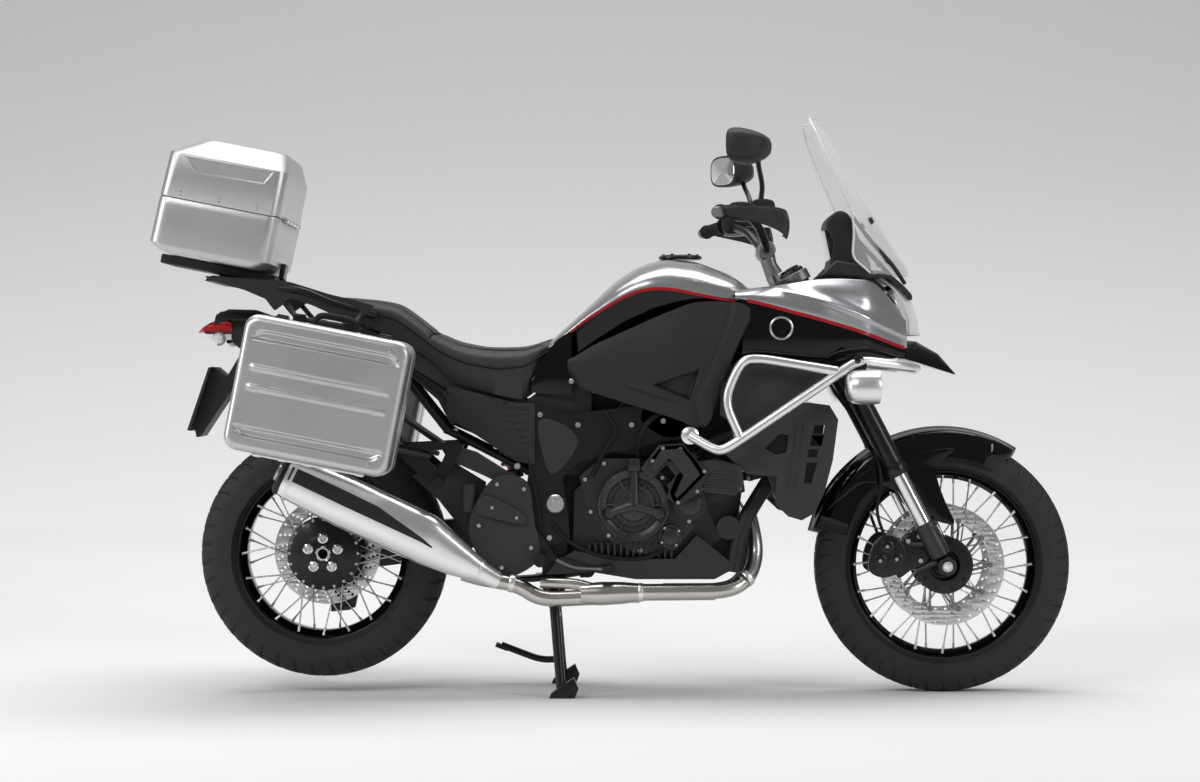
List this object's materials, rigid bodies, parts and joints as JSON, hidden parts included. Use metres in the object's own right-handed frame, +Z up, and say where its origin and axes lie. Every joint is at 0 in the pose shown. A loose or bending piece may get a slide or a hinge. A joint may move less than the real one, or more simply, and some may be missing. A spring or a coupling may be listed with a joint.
{
  "type": "adventure motorcycle",
  "caption": "Adventure touring motorcycle on its centre stand with hollow opening luggage cases, steering, spinning wheels and folding stands.",
  "frame": {"origin": "centre of the bounding box in plan, on the floor under the lowered centre stand", "axes": "+X forward, +Y to the rider's left, +Z up"},
  "size_m": [2.3444, 0.956, 1.475],
  "materials": {
    "frame_paint": "satin black",
    "engine_paint": "satin dark grey",
    "silver_paint": "metallic silver gloss",
    "black_gloss": "gloss black",
    "black_matte": "fine grained black",
    "grey_matte": "grained dark grey",
    "seat_cover": "grained dark grey cover",
    "clear_lens": "clear",
    "red_lens": "clear red",
    "steel_tube": "brushed stainless steel",
    "steel_pipe": "stainless steel",
    "case_aluminium": "anodised silver",
    "tube_black": "gloss black",
    "fork_chrome": "hard chrome and black castings",
    "tyre_rubber": "matt black rubber",
    "disc_steel": "ground steel",
    "spring_red": "satin"
  },
  "bodies": {
    "chassis": {"frame": "frame_paint", "engine": "engine_paint", "engine_covers": "engine_paint", "fuel_tank": "silver_paint", "side_covers": "black_matte", "seat": "seat_cover", "upper_fairing": "silver_paint", "lower_fairing": "black_gloss", "headlight": "clear_lens", "windscreen": "clear_lens", "instrument_panel": "black_matte", "crash_bars": "steel_tube", "fog_lamps": "black_matte", "radiators": "grey_matte", "exhaust_pipes": "steel_pipe", "muffler": "steel_pipe", "swingarm": "engine_paint", "rear_shock": "spring_red", "luggage_rack": "frame_paint", "rear_fender": "black_matte", "tail_light": "red_lens", "footrests": "frame_paint", "right_pannier": "case_aluminium", "left_pannier": "case_aluminium", "top_box": "case_aluminium"},
    "steering": {"fork_tubes": "frame_paint", "fork_sliders": "fork_chrome", "front_fender": "black_gloss", "handlebar": "tube_black", "hand_guards": "black_matte", "mirrors": "black_matte", "front_calipers": "frame_paint"},
    "front_wheel": {"front_tyre": "tyre_rubber", "front_rim": "tube_black", "front_hub": "engine_paint", "front_discs": "disc_steel"},
    "rear_wheel": {"rear_tyre": "tyre_rubber", "rear_rim": "tube_black", "rear_hub": "engine_paint", "rear_disc": "disc_steel"},
    "right_pannier_lid": {"right_pannier_lid": "case_aluminium"},
    "left_pannier_lid": {"left_pannier_lid": "case_aluminium"},
    "top_box_lid": {"top_box_lid": "case_aluminium"},
    "centre_stand": {"centre_stand": "tube_black"},
    "side_stand": {"side_stand": "tube_black"}
  },
  "joints": [
    {"name": "steer", "type": "hinge", "parent": "chassis", "child": "steering", "pos_m": [0.79327, 0, 0.329], "axis": [-0.4617, 0, 0.887], "range_deg": [-34, 34]},
    {"name": "front_wheel_spin", "type": "hinge", "parent": "steering", "child": "front_wheel", "pos_m": [0.844, 0, 0.329], "axis": [0, 1, 0], "continuous": true},
    {"name": "rear_wheel_spin", "type": "hinge", "parent": "chassis", "child": "rear_wheel", "pos_m": [-0.751, 0, 0.358], "axis": [0, 1, 0], "continuous": true},
    {"name": "centre_stand_fold", "type": "hinge", "parent": "chassis", "child": "centre_stand", "pos_m": [-0.158, 0, 0.285], "axis": [0, 1, 0], "range_deg": [0, 76]},
    {"name": "side_stand_fold", "type": "hinge", "parent": "chassis", "child": "side_stand", "pos_m": [-0.075, 0.19, 0.3], "axis": [0.2164, -0.9763, 0], "range_deg": [0, 95]},
    {"name": "top_box_lid_hinge", "type": "hinge", "parent": "chassis", "child": "top_box_lid", "pos_m": [-0.83722, 0, 1.20826], "axis": [0, 1, 0], "range_deg": [0, 75]},
    {"name": "right_pannier_lid_hinge", "type": "hinge", "parent": "chassis", "child": "right_pannier_lid", "pos_m": [-0.75691, -0.3665, 0.59567], "axis": [0.9816, 0, -0.1908], "range_deg": [0, 85]},
    {"name": "left_pannier_lid_hinge", "type": "hinge", "parent": "chassis", "child": "left_pannier_lid", "pos_m": [-0.75691, 0.3665, 0.59567], "axis": [-0.9816, 0, 0.1908], "range_deg": [0, 85]}
  ]
}
